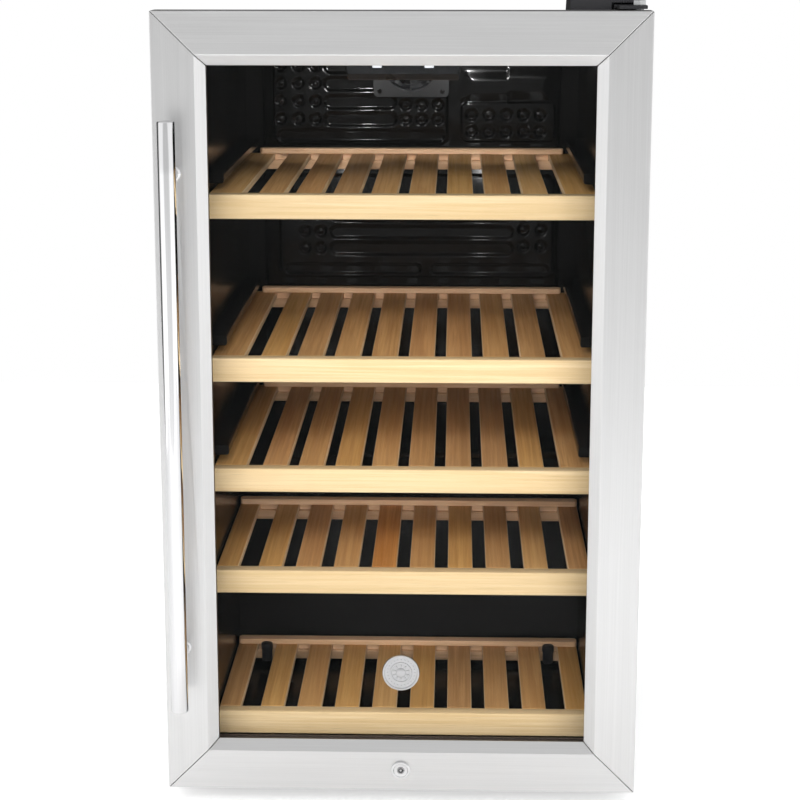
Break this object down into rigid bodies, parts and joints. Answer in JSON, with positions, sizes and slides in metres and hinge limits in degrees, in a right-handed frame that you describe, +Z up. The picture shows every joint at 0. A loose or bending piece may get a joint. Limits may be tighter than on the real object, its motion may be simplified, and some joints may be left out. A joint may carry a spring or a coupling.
{
  "type": "wine cooler",
  "caption": "Freestanding wine cooler with a steel-framed glass door, bar handle, lock, slatted wooden sliding shelves and a rear cooling compartment.",
  "frame": {"origin": "on the floor, under the centre of the bounding box", "axes": "+Z up, the door faces -Y and the handle is on its -X side; +X right, +Y towards the back"},
  "size_m": [0.444, 0.522, 0.7686],
  "materials": {
    "wrap": "satin",
    "pan": "satin",
    "liner": "satin",
    "foam": "matte",
    "cooling_black": "satin",
    "copper": "satin",
    "plate": "gloss",
    "black_plastic": "satin",
    "fan": "satin",
    "housing": "satin",
    "lens": "gloss",
    "key": "satin",
    "hinge": "satin",
    "zinc": "satin",
    "foot": "matte",
    "steel": "satin",
    "inner_frame": "satin",
    "glass": "gloss",
    "spacer": "satin",
    "seal": "matte",
    "handle": "polished",
    "badge": "satin",
    "lock": "polished",
    "rail_wood": "satin",
    "slat_wood": "satin",
    "rear_rail_wood": "satin"
  },
  "bodies": {
    "cabinet": {"outer_wrap": "wrap", "rear_panel": "wrap", "machine_cover": "wrap", "base_pan": "pan", "liner": "liner", "foam_insulation": "foam", "compressor": "cooling_black", "condenser_coil": "cooling_black", "filter_drier": "copper", "drip_tray": "black_plastic", "evaporator_plate": "plate", "power_inlet": "black_plastic", "fan_grille": "black_plastic", "fan_frame": "black_plastic", "top_hinge_cover": "black_plastic", "control_housing": "housing", "lamp_lens_left": "lens", "lamp_lens_right": "lens", "top_hinge_bracket": "hinge", "top_hinge_pin": "zinc", "bottom_hinge_bracket": "zinc", "lock_keeper": "zinc", "rear_foot_left": "foot", "rear_foot_right": "foot"},
    "door": {"frame_strip_top": "steel", "frame_strip_bottom": "steel", "frame_strip_left": "steel", "frame_strip_right": "steel", "door_inner_frame": "inner_frame", "door_gasket": "seal", "glass_outer": "glass", "glass_inner": "glass", "glass_spacer": "spacer", "handle_bar": "handle", "handle_post_upper": "handle", "handle_post_lower": "handle", "badge": "badge", "lock_barrel": "lock"},
    "lock": {"lock_cylinder": "lock"},
    "fan": {"fan_rotor": "fan"},
    "cooler_button": {"button_cooler": "key"},
    "warmer_button": {"button_warmer": "key"},
    "light_button": {"button_light": "key"},
    "left_foot": {"levelling_foot_left": "foot"},
    "right_foot": {"levelling_foot_right": "foot"},
    "shelf_1": {"shelf_1_front_rail": "rail_wood", "shelf_1_slats": "slat_wood", "shelf_1_rear_rail": "rear_rail_wood"},
    "shelf_2": {"shelf_2_front_rail": "rail_wood", "shelf_2_slats": "slat_wood", "shelf_2_rear_rail": "rear_rail_wood"},
    "shelf_3": {"shelf_3_front_rail": "rail_wood", "shelf_3_slats": "slat_wood", "shelf_3_rear_rail": "rear_rail_wood"},
    "shelf_4": {"shelf_4_front_rail": "rail_wood", "shelf_4_slats": "slat_wood", "shelf_4_rear_rail": "rear_rail_wood"},
    "shelf_5": {"shelf_5_front_rail": "rail_wood", "shelf_5_slats": "slat_wood", "shelf_5_rear_rail": "rear_rail_wood"}
  },
  "joints": [
    {"name": "door_hinge", "type": "hinge", "parent": "cabinet", "child": "door", "pos_m": [0.2115, -0.188, 0.38], "axis": [0, 0, 1], "range_deg": [0, 115]},
    {"name": "lock_turn", "type": "hinge", "parent": "door", "child": "lock", "pos_m": [0, -0.199, 0.0426], "axis": [0, -1, 0], "range_deg": [0, 90]},
    {"name": "shelf_1_slide", "type": "slide", "parent": "cabinet", "child": "shelf_1", "axis": [0, -1, 0], "range_m": [0, 0.075]},
    {"name": "shelf_2_slide", "type": "slide", "parent": "cabinet", "child": "shelf_2", "axis": [0, -1, 0], "range_m": [0, 0.075]},
    {"name": "shelf_3_slide", "type": "slide", "parent": "cabinet", "child": "shelf_3", "axis": [0, -1, 0], "range_m": [0, 0.075]},
    {"name": "shelf_4_slide", "type": "slide", "parent": "cabinet", "child": "shelf_4", "axis": [0, -1, 0], "range_m": [0, 0.075]},
    {"name": "shelf_5_slide", "type": "slide", "parent": "cabinet", "child": "shelf_5", "axis": [0, -1, 0], "range_m": [0, 0.075]},
    {"name": "fan_spin", "type": "hinge", "parent": "cabinet", "child": "fan", "pos_m": [0, 0.191, 0.684], "axis": [0, 1, 0], "continuous": true},
    {"name": "cooler_press", "type": "slide", "parent": "cabinet", "child": "cooler_button", "axis": [0, 0, 1], "range_m": [0, 0.001], "stiffness_N_per_m": 300},
    {"name": "warmer_press", "type": "slide", "parent": "cabinet", "child": "warmer_button", "axis": [0, 0, 1], "range_m": [0, 0.001], "stiffness_N_per_m": 300},
    {"name": "light_press", "type": "slide", "parent": "cabinet", "child": "light_button", "axis": [0, 0, 1], "range_m": [0, 0.001], "stiffness_N_per_m": 300},
    {"name": "left_foot_turn", "type": "hinge", "parent": "cabinet", "child": "left_foot", "pos_m": [-0.185, -0.129, 0.006], "axis": [0, 0, 1], "continuous": true},
    {"name": "right_foot_turn", "type": "hinge", "parent": "cabinet", "child": "right_foot", "pos_m": [0.185, -0.129, 0.006], "axis": [0, 0, 1], "continuous": true}
  ],
  "couplings": [
    {"joint": "shelf_1_slide", "follows": "door_hinge", "m_per_rad": 0.037},
    {"joint": "shelf_2_slide", "follows": "door_hinge", "m_per_rad": 0.037},
    {"joint": "shelf_3_slide", "follows": "door_hinge", "m_per_rad": 0.037},
    {"joint": "shelf_4_slide", "follows": "door_hinge", "m_per_rad": 0.037},
    {"joint": "shelf_5_slide", "follows": "door_hinge", "m_per_rad": 0.037}
  ]
}
